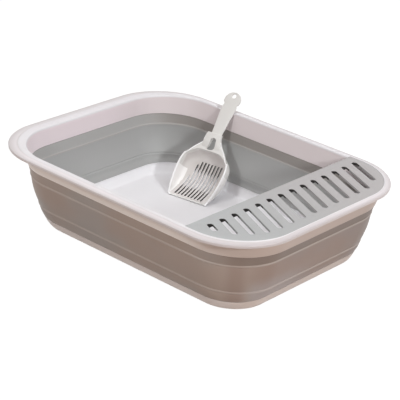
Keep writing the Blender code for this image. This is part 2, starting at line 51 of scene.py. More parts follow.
# The studio. A white floor in a white room, a large soft lamp overhead, one high on each side at the back,
# and a small one in front and one at the right, which give the shadows their edge. The lens sees the floor
# and the room white, and the tray's sides are lit by a warm grey from them.
camera_azimuth = math.radians(40.2229)
camera_elevation = math.radians(24.7250)
camera_roll = math.radians(4.1826)
camera_aside = 0.011136
camera_above = 0.049076
camera_away = 2.193057
camera_back = Vector(
    (
        math.sin(camera_azimuth) * math.cos(camera_elevation),
        -math.cos(camera_azimuth) * math.cos(camera_elevation),
        math.sin(camera_elevation),
    )
)
level_right = Vector((math.cos(camera_azimuth), math.sin(camera_azimuth), 0.0))
level_up = camera_back.cross(level_right)
camera_right = level_right * math.cos(camera_roll) + level_up * math.sin(camera_roll)
camera_up = level_up * math.cos(camera_roll) - level_right * math.sin(camera_roll)
camera_place = camera_right * camera_aside + camera_up * camera_above + camera_back * camera_away
camera_axes = Matrix((camera_right, camera_up, camera_back)).transposed().to_4x4()
camera = bpy.data.objects.new("camera", bpy.data.cameras.new("camera"))
camera.data.lens = 134.165
camera.data.sensor_width = 36.0
camera.matrix_world = Matrix.Translation(camera_place) @ camera_axes
scene.collection.objects.link(camera)
scene.camera = camera

tray_middle = Vector((0.0, 0.0, 0.05))


def soft_lamp(name, place, size, watts, colour):
    """A square lamp that is turned to the middle of the tray."""
    lamp = bpy.data.lights.new(name, "AREA")
    lamp.shape = "SQUARE"
    lamp.size = size
    lamp.energy = watts
    lamp.color = colour
    stand = bpy.data.objects.new(name, lamp)
    stand.location = place
    stand.rotation_euler = (tray_middle - Vector(place)).to_track_quat("-Z", "Y").to_euler()
    scene.collection.objects.link(stand)


soft_lamp("overhead", (0.0, 0.0, 2.2), 1.6, 4.5, (1.0, 0.97, 0.93))
soft_lamp("high_right", (0.9, 0.5, 1.7), 0.8, 9.2, (0.95, 1.0, 1.04))
soft_lamp("high_left", (-1.0, 0.4, 1.6), 0.8, 7.4, (0.96, 1.0, 1.03))
soft_lamp("front", (-0.186, -1.327, 1.047), 0.25, 7.4, (0.97, 1.0, 1.0))
soft_lamp("right", (1.549, -0.415, 0.817), 0.2, 12.0, (0.98, 1.0, 1.0))


class Wire:
    """A socket of a node tree. Arithmetic on it adds Math nodes, and node() adds any other node."""

    def __init__(self, tree, socket=None):
        self.tree = tree
        self.socket = socket

    def node(self, kind, inputs=None, out=0, **settings):
        made = self.tree.nodes.new(kind)
        for name, value in settings.items():
            setattr(made, name, value)
        for key, value in (inputs or {}).items():
            for item in value if isinstance(value, list) else [value]:
                if isinstance(item, Wire):
                    self.tree.links.new(item.socket, made.inputs[key])
                else:
                    made.inputs[key].default_value = item
        return Wire(self.tree, made.outputs[out] if made.outputs else None)

    def math(self, operation, *values, **settings):
        return self.node("ShaderNodeMath", dict(enumerate(values)), operation=operation, **settings)

    def __add__(self, other):
        return self.math("ADD", self, other)

    def __sub__(self, other):
        return self.math("SUBTRACT", self, other)

    def __rsub__(self, other):
        return self.math("SUBTRACT", other, self)

    def __mul__(self, other):
        return self.math("MULTIPLY", self, other)

    def __truediv__(self, other):
        return self.math("DIVIDE", self, other)

    __radd__ = __add__
    __rmul__ = __mul__


def seen_by_lens(nodes):
    """One where the lens looks, also in a mirror or through glass, and nought for the light on the tray."""
    seen = nodes.node("ShaderNodeLightPath", out="Is Camera Ray")
    for other in ("Is Glossy Ray", "Is Transmission Ray"):
        seen = nodes.math("ADD", seen, nodes.node("ShaderNodeLightPath", out=other), use_clamp=True)
    return seen


floor_paint = bpy.data.materials.new("floor_paint")
floor_paint.use_nodes = True
floor_paint.node_tree.nodes.clear()
nodes = Wire(floor_paint.node_tree)
warm_bounce = nodes.node("ShaderNodeBsdfDiffuse", {"Color": (0.66, 0.55, 0.475, 1.0)})
paper = nodes.node("ShaderNodeBsdfDiffuse", {"Color": (0.9, 0.9, 0.9, 1.0)})
glow = nodes.node("ShaderNodeEmission", {"Color": (1.0, 1.0, 1.0, 1.0), "Strength": 1.1})
shadowed_white = nodes.node("ShaderNodeMixShader", {0: 0.12, 1: glow, 2: paper})
floor_mix = nodes.node("ShaderNodeMixShader", {0: seen_by_lens(nodes), 1: warm_bounce, 2: shadowed_white})
nodes.node("ShaderNodeOutputMaterial", {"Surface": floor_mix})

floor_half = 5.0
floor_level = -0.0004
floor_corners = [
    (x * floor_half, y * floor_half, floor_level) for x, y in ((-1, -1), (1, -1), (1, 1), (-1, 1))
]
floor_mesh = bpy.data.meshes.new("floor")
floor_mesh.from_pydata(floor_corners, [], [(0, 1, 2, 3)])
floor_mesh.materials.append(floor_paint)
floor = bpy.data.objects.new("floor", floor_mesh)
scene.collection.objects.link(floor)

world = bpy.data.worlds.new("studio")
world.use_nodes = True
world.node_tree.nodes.clear()
nodes = Wire(world.node_tree)
room = nodes.node("ShaderNodeBackground", {"Color": (1.0, 0.74, 0.62, 1.0), "Strength": 0.17})
backdrop = nodes.node("ShaderNodeBackground", {"Color": (1.0, 1.0, 1.0, 1.0), "Strength": 1.0})
sky = nodes.node("ShaderNodeMixShader", {0: seen_by_lens(nodes), 1: room, 2: backdrop})
nodes.node("ShaderNodeOutputWorld", {"Surface": sky})
scene.world = world

# The rim. One stiff white polypropylene moulding: a collar round the mouth, a raised ridge, and a flange
# that slopes to a turned-down lip. The ridge stops at the notch where the scoop leans and at the step's
# ledge. A ring is a rounded rectangle round the tray, shifted a little towards the step.
Ring = namedtuple("Ring", "half_length half_width corner shift height")
mouth = Ring(0.2295, 0.1753, 0.082, 0.009, 0.116)
lip = Ring(0.250, 0.1915, 0.094, 0.0, 0.1182)
collar_foot = Ring(0.2295, 0.172, 0.082, 0.007, 0.092)
collar_wall = 0.003
rim_top = 0.121
rim_wall = 0.0024
lip_foot = 0.1140
ridge_rise = 0.0016
ledge_level = 0.1172
ledge_reach = 0.0043
step_edge_x = 0.1395
notch_x = -0.100
notch_length = 0.040
notch_level = 0.119
notch_reach = 0.012


def grown(ring, distance, height=None):
    """The ring offset outwards all round, at another height if one is given."""
    return Ring(
        ring.half_length + distance,
        ring.half_width + distance,
        ring.corner + distance,
        ring.shift,
        ring.height if height is None else height,
    )


def between(first, second, share, height=None):
    """The ring a share of the way from the first to the second, at another height if one is given."""
    ring = Ring(*(a + (b - a) * share for a, b in zip(first, second)))
    return ring if height is None else ring._replace(height=height)


def rounded_corner(before, ring, after, radius, steps):
    """The short curve of rings that a section's corner becomes between its neighbours."""
    if radius == 0.0:
        return [ring]
    ends = []
    for other in (before, after):
        reach = math.hypot(other.half_width - ring.half_width, other.height - ring.height)
        ends.append(between(ring, other, min(radius / reach, 0.48)))
    shares = [step / steps for step in range(steps + 1)]
    return [between(between(ends[0], ring, t), between(ring, ends[1], t), t) for t in shares]


def painted(section, steps):
    """Rounds a closed section, whose rows are a ring, its corner's radius and its paint."""
    rings, paint = [], []
    for i, (ring, radius, colours) in enumerate(section):
        curve = rounded_corner(section[i - 1][0], ring, section[(i + 1) % len(section)][0], radius, steps)
        rings += curve
        paint += [colours] * len(curve)
    return rings, paint


def point_cloud(name, places, **vectors):
    """A mesh of loose points that carries the vectors a tree reads."""
    mesh = bpy.data.meshes.new(name)
    mesh.from_pydata(places, [], [])
    for attribute, rows in vectors.items():
        values = mesh.attributes.new(attribute, "FLOAT_VECTOR", "POINT").data
        values.foreach_set("vector", np.array(rows, float).ravel())
    cloud = bpy.data.objects.new(name, mesh)
    scene.collection.objects.link(cloud)
    return cloud


def new_tree(name, sockets):
    tree = bpy.data.node_groups.new(name, "GeometryNodeTree")
    for socket, kind in sockets:
        tree.interface.new_socket(socket, in_out="INPUT", socket_type=kind)
    tree.interface.new_socket("Geometry", in_out="OUTPUT", socket_type="NodeSocketGeometry")
    entry = tree.nodes.new("NodeGroupInput")
    return tree, {socket.name: Wire(tree, socket) for socket in entry.outputs if socket.name}


def finish_tree(geometry, material):
    smooth = geometry.node("GeometryNodeSetShadeSmooth", {"Geometry": geometry})
    real = geometry.node("GeometryNodeRealizeInstances", {"Geometry": smooth})
    coated = geometry.node("GeometryNodeSetMaterial", {"Geometry": real, "Material": material})
    geometry.node("NodeGroupOutput", {0: coated})


# Rows of rings and columns of stations make a surface that goes round the tray.
ring_tree, given = new_tree(
    "rings_round_the_tray",
    [
        ("Rings", "NodeSocketObject"),
        ("Stations", "NodeSocketObject"),
        ("Wrap", "NodeSocketFloat"),
        ("Material", "NodeSocketMaterial"),
    ],
)
nodes = Wire(ring_tree)
ring_points = nodes.node("GeometryNodeObjectInfo", {"Object": given["Rings"]}, out="Geometry")
station_points = nodes.node("GeometryNodeObjectInfo", {"Object": given["Stations"]}, out="Geometry")
ring_count = nodes.node("GeometryNodeAttributeDomainSize", {"Geometry": ring_points}, component="MESH")
station_count = nodes.node("GeometryNodeAttributeDomainSize", {"Geometry": station_points}, component="MESH")
grid = nodes.node(
    "GeometryNodeMeshGrid", {"Vertices X": ring_count + given["Wrap"], "Vertices Y": station_count + 1.0}
)
index = nodes.node("GeometryNodeInputIndex") + 0.0
row = nodes.math("FLOOR", (index + 0.5) / (station_count + 1.0))
column = index - row * (station_count + 1.0)
row = nodes.math("MODULO", row, ring_count)
column = nodes.math("MODULO", column, station_count)


def sampled(points, index, attribute=None):
    """A vector of the point with this index, or its place where no attribute is named."""
    if attribute:
        value = points.node("GeometryNodeInputNamedAttribute", {"Name": attribute}, data_type="FLOAT_VECTOR")
    else:
        value = points.node("GeometryNodeInputPosition")
    return points.node(
        "GeometryNodeSampleIndex",
        {"Geometry": points, "Value": value, "Index": index},
        data_type="FLOAT_VECTOR",
        domain="POINT",
    )


def parts_of(vector):
    split = vector.node("ShaderNodeSeparateXYZ", {0: vector})
    return [Wire(split.tree, socket) for socket in split.socket.node.outputs]


half_length, half_width, corner = parts_of(sampled(ring_points, row, "plan"))
shift, _, ring_height = parts_of(sampled(ring_points, row))
side_x, side_y, turn = parts_of(sampled(station_points, column, "turn"))
fixed_x, _, follows = parts_of(sampled(station_points, column))
drop = nodes.node(
    "ShaderNodeVectorMath",
    {0: sampled(ring_points, row, "drops"), 1: sampled(station_points, column, "cuts")},
    out="Value",
    operation="DOT_PRODUCT",
)
x = fixed_x + follows * shift + side_x * (half_length - corner) + corner * nodes.math("COSINE", turn)
y = side_y * (half_width - corner) + corner * nodes.math("SINE", turn)
place = nodes.node("ShaderNodeCombineXYZ", {0: x, 1: y, 2: ring_height - drop})
coloured = nodes.node(
    "GeometryNodeStoreNamedAttribute",
    {"Geometry": grid, "Name": "paint", "Value": sampled(ring_points, row, "paint")},
    data_type="FLOAT_VECTOR",
    domain="POINT",
)
shaped = nodes.node("GeometryNodeSetPosition", {"Geometry": coloured, "Position": place})
welded = nodes.node("GeometryNodeMergeByDistance", {"Geometry": shaped, "Distance": 1e-6})
finish_tree(welded, given["Material"])


def stations(far_side=(), near_side=(), cuts=None):
    """Points round a ring: arcs at the corners, and shares of the straights or fixed places along them."""
    arc_steps = 20
    places, turns = [], []

    def add(side_x, side_y, angle, x=0.0, follows=1.0):
        places.append((x, 0.0, follows))
        turns.append((side_x, side_y, angle))

    for quarter, (sign_x, sign_y) in enumerate(((1, 1), (-1, 1), (-1, -1), (1, -1))):
        for step in range(arc_steps + 1):
            add(sign_x, sign_y, math.pi / 2 * (quarter + step / arc_steps))
        end = math.pi / 2 * (quarter + 1)
        lengthwise = quarter in (0, 2)
        fixed = {0: far_side, 2: near_side}.get(quarter, ())
        if fixed:
            for x in fixed:
                add(0.0, sign_y, end, x=x, follows=0.0)
            continue
        for share in (0.96, 0.6, 0.2, -0.2, -0.6, -0.96):
            add(sign_x * share if lengthwise else sign_x, sign_y if lengthwise else sign_y * share, end)
    masks = cuts(places, turns) if cuts else [(0.0, 0.0, 0.0)] * len(places)
    return places, turns, masks


def set_inputs(modifier, values):
    for item in modifier.node_group.interface.items_tree:
        if item.item_type == "SOCKET" and item.in_out == "INPUT" and item.name in values:
            modifier[item.identifier] = values[item.name]


def made_plain(piece):
    """Turns what the modifiers make into the piece's own mesh, facing out, with sharp edges marked."""
    sharp_angle = math.radians(35.0)
    graph = bpy.context.evaluated_depsgraph_get()
    mesh = bpy.data.meshes.new_from_object(piece.evaluated_get(graph))
    piece.modifiers.clear()
    shape = bmesh.new()
    shape.from_mesh(mesh)
    bmesh.ops.transform(shape, matrix=piece.matrix_world, verts=shape.verts)
    bmesh.ops.recalc_face_normals(shape, faces=shape.faces)
    shape.to_mesh(mesh)
    shape.free()
    mesh.shade_smooth()
    mesh.set_sharp_from_angle(angle=sharp_angle)
    piece.data = mesh
    piece.matrix_world = Matrix.Identity(4)


def ring_piece(name, rings, around, material, wrap=True, drops=None, paint=None):
    """Runs the tree on rings and stations and returns its result as a plain mesh object."""
    blank = [(0.0, 0.0, 0.0)] * len(rings)
    places, turns, masks = around
    ring_cloud = point_cloud(
        name + "_rings",
        [(ring.shift, 0.0, ring.height) for ring in rings],
        plan=[ring[:3] for ring in rings],
        drops=drops or blank,
        paint=paint or blank,
    )
    station_cloud = point_cloud(name + "_stations", places, turn=turns, cuts=masks)
    piece = bpy.data.objects.new(name, bpy.data.meshes.new(name))
    scene.collection.objects.link(piece)
    modifier = piece.modifiers.new("Rings", "NODES")
    modifier.node_group = ring_tree
    set_inputs(
        modifier, {"Rings": ring_cloud, "Stations": station_cloud, "Wrap": float(wrap), "Material": material}
    )
    made_plain(piece)
    for cloud in (ring_cloud, station_cloud):
        bpy.data.objects.remove(cloud)
    return piece


class Finish(Wire):
    """A material with a Principled shader, and the patterns that every plastic of the tray shares."""

    def __init__(self, name, ior):
        self.material = bpy.data.materials.new(name)
        self.material.use_nodes = True
        super().__init__(self.material.node_tree)
        self.shader = self.tree.nodes["Principled BSDF"]
        self.shader.inputs["IOR"].default_value = ior
        self.place = self.node("ShaderNodeTexCoord", out="Object")

    def paint(self):
        """The three masks that the piece's points or faces carry."""
        return parts_of(self.node("ShaderNodeAttribute", out="Vector", attribute_name="paint"))

    def noise(self, scale, detail=2.0, stretch=(1.0, 1.0, 1.0)):
        vector = self.node("ShaderNodeVectorMath", {0: self.place, 1: stretch}, operation="MULTIPLY")
        return self.node("ShaderNodeTexNoise", {"Vector": vector, "Scale": scale, "Detail": detail})

    def mixed(self, factor, first, second):
        """A colour between two, which are wires or plain colours."""
        ends = [end if isinstance(end, Wire) else (*end, 1.0) for end in (first, second)]
        return self.node("ShaderNodeMix", {0: factor, 6: ends[0], 7: ends[1]}, out=2, data_type="RGBA")

    def rise(self, value, low, high):
        """A smooth step from nought at the low value to one at the high one."""
        return self.node("ShaderNodeMapRange", {0: value, 1: low, 2: high}, interpolation_type="SMOOTHSTEP")

    def above_nought(self, value):
        return self.math("MAXIMUM", value, 0.0)

    def feed(self, socket, wire):
        self.tree.links.new(wire.socket, self.shader.inputs[socket])

    def bump(self, height, distance):
        inputs = {"Height": height, "Distance": distance, "Strength": 0.5}
        self.feed("Normal", self.node("ShaderNodeBump", inputs))


rim_finish = Finish("white_polypropylene", ior=1.49)
on_side, on_ridge, mouth_or_collar = rim_finish.paint()
lengthwise, crosswise, _ = parts_of(rim_finish.place)
to_near_corner = lengthwise - crosswise
white = rim_finish.mixed(rim_finish.noise(9.0, detail=3.0), (0.785, 0.745, 0.765), (0.835, 0.795, 0.815))
# Painted shade: the white is darker towards the near corner, and the lip's turned-down side is darker still,
# most of all there.
white = rim_finish.mixed(rim_finish.rise(to_near_corner, 0.12, 0.42) * 0.75, white, (0.60, 0.555, 0.56))
lip_side_shade = rim_finish.rise(to_near_corner, 0.1, 0.36) * 0.38 + 0.62
white = rim_finish.mixed(on_side * lip_side_shade, white, (0.60, 0.555, 0.565))
# Painted highlight: the ridge's top is lighter, less so towards the near corner.
ridge_highlight_fade = rim_finish.rise(to_near_corner, -0.1, 0.2)
ridge_highlight = rim_finish.mixed(ridge_highlight_fade, (0.88, 0.87, 0.905), (0.80, 0.79, 0.815))
white = rim_finish.mixed(on_ridge * 0.8, white, ridge_highlight)
# The mouth's inner band is painted pinker, and darker towards the far side as painted shade.
mouth_shade = rim_finish.rise(crosswise, 0.02, 0.16)
shaded_mouth_white = rim_finish.mixed(mouth_shade, (0.875, 0.785, 0.82), (0.77, 0.70, 0.71))
white = rim_finish.mixed(rim_finish.above_nought(mouth_or_collar), white, shaded_mouth_white)
# Painted shade on the collar's outer face: a warm grey-white, much darker towards the step's end, where the
# lip's shadow falls.
collar_shadow = rim_finish.rise(lengthwise, 0.10, 0.24)
shaded_collar_white = rim_finish.mixed(collar_shadow, (0.83, 0.785, 0.765), (0.50, 0.41, 0.37))
white = rim_finish.mixed(rim_finish.above_nought(mouth_or_collar * -1.0), white, shaded_collar_white)
rim_finish.feed("Base Color", white)
rim_finish.feed("Roughness", rim_finish.noise(60.0, detail=4.0) * 0.16 + 0.30)
fine_grain = rim_finish.noise(2400.0, detail=1.0)
flow_lines = rim_finish.noise(30.0, stretch=(0.4, 0.4, 3.0))
rim_finish.bump(fine_grain * 0.7 + flow_lines * 2.0, 0.00002)

# A section's rows are a ring, the radius that its corner is rounded to, and its paint.
under = rim_top - ridge_rise - rim_wall
ridge_foot = between(mouth, lip, 0.54, rim_top - ridge_rise)
ledge_sharpness = 0.00004
plain, lip_side, ridge_top = (0.0, 0.0, 0.0), (1.0, 0.0, 0.0), (0.0, 1.0, 0.0)
mouth_side, collar_side = (0.0, 0.0, 1.0), (0.0, 0.0, -1.0)
rim_section = [
    (collar_foot, 0.0006, collar_side),
    (grown(mouth, collar_wall, mouth.height - 0.003), 0.002, collar_side),
    (between(mouth, lip, 0.54, under - 0.0008), 0.002, plain),
    (grown(lip, -0.0033, under - 0.0012), 0.001, plain),
    (grown(lip, -0.0022, lip_foot), 0.0008, plain),
    (grown(lip, 0.0, lip_foot), 0.0010, lip_side),
    (lip, 0.0014, lip_side),
    (ridge_foot, 0.0012, plain),
    (grown(ridge_foot, -0.0022, rim_top), 0.0012, ridge_top),
    (grown(mouth, ledge_reach + ledge_sharpness, rim_top), 0.0, ridge_top),
    (grown(mouth, ledge_reach - ledge_sharpness, rim_top), 0.0, ridge_top),
    (grown(mouth, 0.0010, rim_top), 0.0016, ridge_top),
    (mouth, 0.0012, mouth_side),
    (grown(collar_foot, -collar_wall), 0.0006, mouth_side),
]
rim_rings, rim_paint = painted(rim_section, 5)
rim_drops = []
for ring in rim_rings:
    reach = ring.half_width - mouth.half_width
    on_top = ring.height > mouth.height + 0.0005
    ledge = max(ring.height - ledge_level, 0.0) if on_top and reach < ledge_reach else 0.0
    notch = max(ring.height - notch_level, 0.0) if on_top and reach < notch_reach else 0.0
    rim_drops.append((notch, ledge, 0.0))

notch_slope = 0.003


def rim_cuts(places, turns):
    """How far each station lies in the notch and on the step's ledge."""
    masks = []
    for (x, _, follows), (side_x, side_y, _) in zip(places, turns):
        at = x if follows == 0.0 else math.copysign(1.0, side_x)
        inward = notch_length / 2 + notch_slope / 2 - abs(at - notch_x)
        share = min(max(inward / notch_slope, 0.0), 1.0)
        in_notch = share * share * (3 - 2 * share) if side_y > 0 and follows == 0.0 else 0.0
        masks.append((in_notch, float(at > step_edge_x - 0.0003), 0.0))
    return masks


step_places = [0.150, 0.1402, 0.1396, 0.1393, 0.1390, 0.1388, 0.138]
plain_places = [0.12, 0.08, 0.04, 0.0, -0.03, -0.06]
slope_places = np.linspace(0.002, -0.002, 9)
notch_places = [*(notch_x + notch_length / 2 + slope_places), -0.09, -0.1, -0.11]
notch_places += [*(notch_x - notch_length / 2 + slope_places)]
far_places = step_places + plain_places + notch_places + [-0.128, -0.134]
near_places = sorted(step_places + plain_places + [-0.09, -0.128, -0.134])
rim_stations = stations(far_places, near_places, rim_cuts)
rim = ring_piece("rim", rim_rings, rim_stations, rim_finish.material, drops=rim_drops, paint=rim_paint)
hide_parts("rim_frame")
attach(rim, "rim")

# The soft wall. One grey thermoplastic-rubber moulding between the collar and the base pan, thinned to a bead
# at its two folds, where it turns over on itself as the tray is pushed flat.
upper_fold = Ring(0.2227, 0.1685, 0.076, 0.0075, 0.0765)
lower_fold = Ring(0.2120, 0.1563, 0.066, 0.0085, 0.031)
seam = Ring(0.2031, 0.1529, 0.059, 0.0108, 0.015)
wall_thickness = 0.0022
wall_top = collar_foot.height - 0.0003
wall_foot = seam.height + 0.0003
wall_lap_top = seam.height + 0.0036

wall_finish = Finish("grey_soft_rubber", ior=1.45)
folded, inside, sheltered = wall_finish.paint()
lengthwise, crosswise, height = parts_of(wall_finish.place)
cloudy = wall_finish.noise(7.0, detail=3.0)
patches = wall_finish.rise(wall_finish.noise(6.5, stretch=(1.0, 1.0, 1.6)), 0.38, 0.62)
cool = wall_finish.mixed(cloudy, (0.325, 0.295, 0.282), (0.37, 0.337, 0.322))
warm = wall_finish.mixed(cloudy, (0.34, 0.275, 0.243), (0.385, 0.312, 0.275))
outer_grey = wall_finish.mixed(patches, cool, warm)
round_corner = lengthwise + crosswise
# Painted shade: a darker strip round the near corner.
strip = wall_finish.rise(round_corner, 0.030, 0.055) * (1.0 - wall_finish.rise(round_corner, 0.062, 0.085))
outer_grey = wall_finish.mixed(strip * 0.6, outer_grey, (0.28, 0.205, 0.175))
# Painted sheen: a paler, cooler patch low down past the near corner.
past_corner = wall_finish.rise(round_corner, 0.07, 0.10) * (1.0 - wall_finish.rise(round_corner, 0.15, 0.24))
low_down = 1.0 - wall_finish.rise(height, 0.03, 0.06)
outer_grey = wall_finish.mixed(past_corner * low_down * 0.8, outer_grey, (0.45, 0.43, 0.44))
# Painted shade: the outside is darker and warmer towards the step's end, and darker still under the collar
# there.
end_shade = wall_finish.rise(round_corner, 0.06, 0.13) * 0.27
outer_grey = wall_finish.mixed(end_shade, outer_grey, (0.14, 0.05, 0.027))
collar_shade = wall_finish.rise(lengthwise, 0.13, 0.235) * sheltered * 0.75
outer_grey = wall_finish.mixed(collar_shade, outer_grey, (0.19, 0.148, 0.125))
# Painted shade inside: darker in the far left corner and towards the bottom, and in the band under the collar,
# most on the far side.
to_far_side = wall_finish.rise(crosswise, 0.09, 0.17)
far_corner = to_far_side * (1.0 - wall_finish.rise(lengthwise, -0.14, -0.05))
low_inside = 1.0 - wall_finish.rise(height, 0.02, 0.045)
# Painted light: the inside is a lighter, less warm grey than the outside, of the same rubber.
inner_grey = wall_finish.mixed(cloudy, (0.395, 0.40, 0.398), (0.43, 0.435, 0.433))
inner_grey = wall_finish.mixed(low_inside * 0.09 + far_corner * 0.22, inner_grey, (0.05, 0.04, 0.03))
inner_grey = wall_finish.mixed(sheltered * (to_far_side * 0.6 + 0.16), inner_grey, (0.275, 0.245, 0.225))
grey = wall_finish.mixed(inside, outer_grey, inner_grey)
# Painted highlight: lighter lines along the folds, outside and in, fainter outside round the near corner.
at_corner = wall_finish.rise(round_corner, -0.01, 0.03) * (1.0 - wall_finish.rise(round_corner, 0.075, 0.12))
line_strength = 0.62 - at_corner * (1.0 - inside) * 0.35
wall_finish.feed("Base Color", wall_finish.mixed(folded * line_strength, grey, (0.53, 0.48, 0.455)))
wall_finish.feed("Roughness", wall_finish.noise(45.0, detail=3.0) * 0.14 + 0.42)
soft_grain = wall_finish.noise(1700.0)
sag = wall_finish.noise(22.0, detail=1.0)
wall_finish.bump(soft_grain * 0.6 + sag * 3.0, 0.00003)

bead = 0.0009
middle_bulge = 0.0022
lower_bulge = 0.0011
low = lower_fold.height
high = upper_fold.height
middle_rings = [
    grown(between(lower_fold, upper_fold, share), middle_bulge * math.sin(math.pi * share))
    for share in (0.12, 0.3, 0.5, 0.7, 0.88)
]
lower_rings = [
    grown(between(lower_fold, seam, share), lower_bulge * math.sin(math.pi * share))
    for share in (0.3, 0.5, 0.75)
]
outer_face, inner_face = (0.0, 0.0, 0.0), (0.0, 1.0, 0.0)
upper_face, under_collar = (0.0, 0.0, 1.0), (0.0, 1.0, 1.0)
fold_line, by_fold, inner_crease = (1.0, 0.0, 0.0), (0.22, 0.0, 0.0), (0.6, 1.0, 0.0)
wall_section = [
    (grown(seam, 0.0, wall_foot), 0.0004, outer_face),
    *[(ring, 0.003, outer_face) for ring in reversed(lower_rings)],
    (between(lower_fold, seam, 0.08, low - 0.0016), 0.0006, by_fold),
    (grown(lower_fold, bead, low - 0.0007), 0.0006, fold_line),
    (grown(lower_fold, bead, low + 0.0011), 0.0006, fold_line),
    (between(lower_fold, upper_fold, 0.04, low + 0.0022), 0.0006, by_fold),
    *[(ring, 0.004, outer_face) for ring in middle_rings],
    (between(lower_fold, upper_fold, 0.96, high - 0.0019), 0.0006, by_fold),
    (grown(upper_fold, bead, high - 0.0009), 0.0006, fold_line),
    (grown(upper_fold, bead, high + 0.0009), 0.0006, fold_line),
    (between(upper_fold, collar_foot, 0.1, high + 0.0021), 0.0006, upper_face),
    (grown(collar_foot, -0.0006, wall_top), 0.0, upper_face),
    (grown(collar_foot, -collar_wall, wall_top), 0.0, under_collar),
    (grown(between(upper_fold, collar_foot, 0.1), -wall_thickness, high + 0.0019), 0.0008, under_collar),
    (grown(upper_fold, -wall_thickness - 0.0005, high + 0.0006), 0.0006, inner_crease),
    (grown(upper_fold, -wall_thickness - 0.0005, high - 0.0006), 0.0006, inner_crease),
    (grown(between(lower_fold, upper_fold, 0.96), -wall_thickness, high - 0.0017), 0.0008, inner_face),
    *[(grown(ring, -wall_thickness), 0.004, inner_face) for ring in reversed(middle_rings)],
    (grown(between(lower_fold, upper_fold, 0.03), -wall_thickness, low + 0.0018), 0.0006, inner_face),
    (grown(lower_fold, -wall_thickness + 0.0006, low + 0.0004), 0.0004, inner_face),
    (grown(between(lower_fold, seam, 0.08), -wall_thickness - 0.0002, low - 0.0010), 0.0006, inner_face),
    *[(grown(ring, -wall_thickness), 0.003, inner_face) for ring in lower_rings[:-1]],
    (grown(seam, -0.0026, wall_lap_top), 0.0004, inner_face),
    (grown(seam, -0.0010, wall_lap_top), 0.0, inner_face),
    (grown(seam, -0.0010, wall_foot), 0.0, outer_face),
]
wall_rings, wall_paint = painted(wall_section, 4)
wall = ring_piece("soft_wall", wall_rings, stations(), wall_finish.material, paint=wall_paint)
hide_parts("wall_upper_band", "wall_middle_band", "wall_lower_band")
# A height a little below the lower fold, where the wall would turn to stay clear of the step when the tray is
# pushed flat; nothing in this script reads it or turns the wall.
turn_start = lower_fold.height - 0.006
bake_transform(wall)

# The base pan. A shallow stiff white moulding with a flat floor, a tucked-in foot and an upright leg inside,
# over which the soft wall is moulded.
foot = Ring(0.1931, 0.1429, 0.052, 0.0128, 0.0)
pan_floor = 0.0032
leg_top = seam.height + 0.0033
inner_leg = grown(seam, -0.0026)
outer_leg = grown(seam, -0.0013)
tuck_power = 1.68

pan_finish = Finish("white_polypropylene_base", ior=1.49)
outside, _, _ = pan_finish.paint()
lengthwise, crosswise, _ = parts_of(pan_finish.place)
pan_white = pan_finish.mixed(pan_finish.noise(9.0, detail=3.0), (0.845, 0.84, 0.865), (0.885, 0.88, 0.905))
# Painted shade: the pan's outside is a darker, warmer white than its floor inside, darker still towards the
# step's end past the near corner.
past_corner = pan_finish.rise(lengthwise + crosswise, 0.02, 0.10)
shaded_outer_white = pan_finish.mixed(past_corner, (0.75, 0.70, 0.695), (0.655, 0.575, 0.54))
pan_finish.feed("Base Color", pan_finish.mixed(outside, pan_white, shaded_outer_white))
pan_finish.feed("Roughness", pan_finish.noise(60.0, detail=4.0) * 0.16 + 0.32)
pan_finish.bump(pan_finish.noise(2400.0, detail=1.0), 0.00002)


def drawn_in(ring, share):
    """The ring shrunk towards the line along its middle, where a flat face closes."""
    return Ring(
        ring.half_length - ring.half_width * share,
        ring.half_width * (1 - share),
        ring.corner * (1 - share),
        ring.shift,
        ring.height,
    )


shares = np.linspace(0.0, 1.0, 11)
tuck = [between(foot, seam, share, seam.height * share**tuck_power) for share in shares]
pan_rise = seam.height - pan_floor
hollow = [between(foot, inner_leg, share, pan_floor + pan_rise * share**tuck_power) for share in shares[::-1]]
pan_outside = [
    *[drawn_in(foot, share) for share in (1.0, 0.6, 0.2, 0.01)],
    *tuck[:-1],
    *rounded_corner(tuck[-2], seam, outer_leg, 0.0003, 3),
    outer_leg,
]
pan_inside = [
    grown(outer_leg, 0.0, leg_top),
    grown(inner_leg, 0.0, leg_top),
    *hollow,
    *[drawn_in(hollow[-1], share) for share in (0.01, 0.2, 0.6, 1.0)],
]
pan_paint = [(1.0, 0.0, 0.0)] * len(pan_outside) + [(0.0, 0.0, 0.0)] * len(pan_inside)
pan_rings = pan_outside + pan_inside
pan = ring_piece("base_tray", pan_rings, stations(), pan_finish.material, wrap=False, paint=pan_paint)
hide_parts("base_pan")
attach(pan, "base")

# The step. A light grey plate let into the ledge of the rim. It has a row of slanted slots, which wipe paws
# clean, and its front edge is turned down.
step_ring = grown(mouth, 0.004, rim_top)
step_thickness = 0.0035
front_edge_wall = 0.0026
front_edge_depth = 0.0133
front_half = 0.1678
slot_count = 14
slot_width = 0.0086
slot_pitch = step_ring.half_width * 0.1354
slot_slant = math.radians(-26.0)
slot_row_aside = 0.0058
slot_field_aside = 0.005
first_slot_x = step_edge_x + 0.0195
slot_field_ring = Ring(
    step_ring.half_length - 0.0202, step_ring.half_width - 0.0118, 0.075, step_ring.shift, rim_top
)


def corner_arcs(ring):
    """The ring's outline as points on its four corner arcs."""
    steps = 24
    points = []
    for quarter, (sign_x, sign_y) in enumerate(((1, 1), (-1, 1), (-1, -1), (1, -1))):
        centre_x = ring.shift + sign_x * (ring.half_length - ring.corner)
        centre_y = sign_y * (ring.half_width - ring.corner)
        for step in range(steps + 1):
            angle = math.pi / 2 * (quarter + step / steps)
            x = centre_x + ring.corner * math.cos(angle)
            points.append((x, centre_y + ring.corner * math.sin(angle)))
    return points


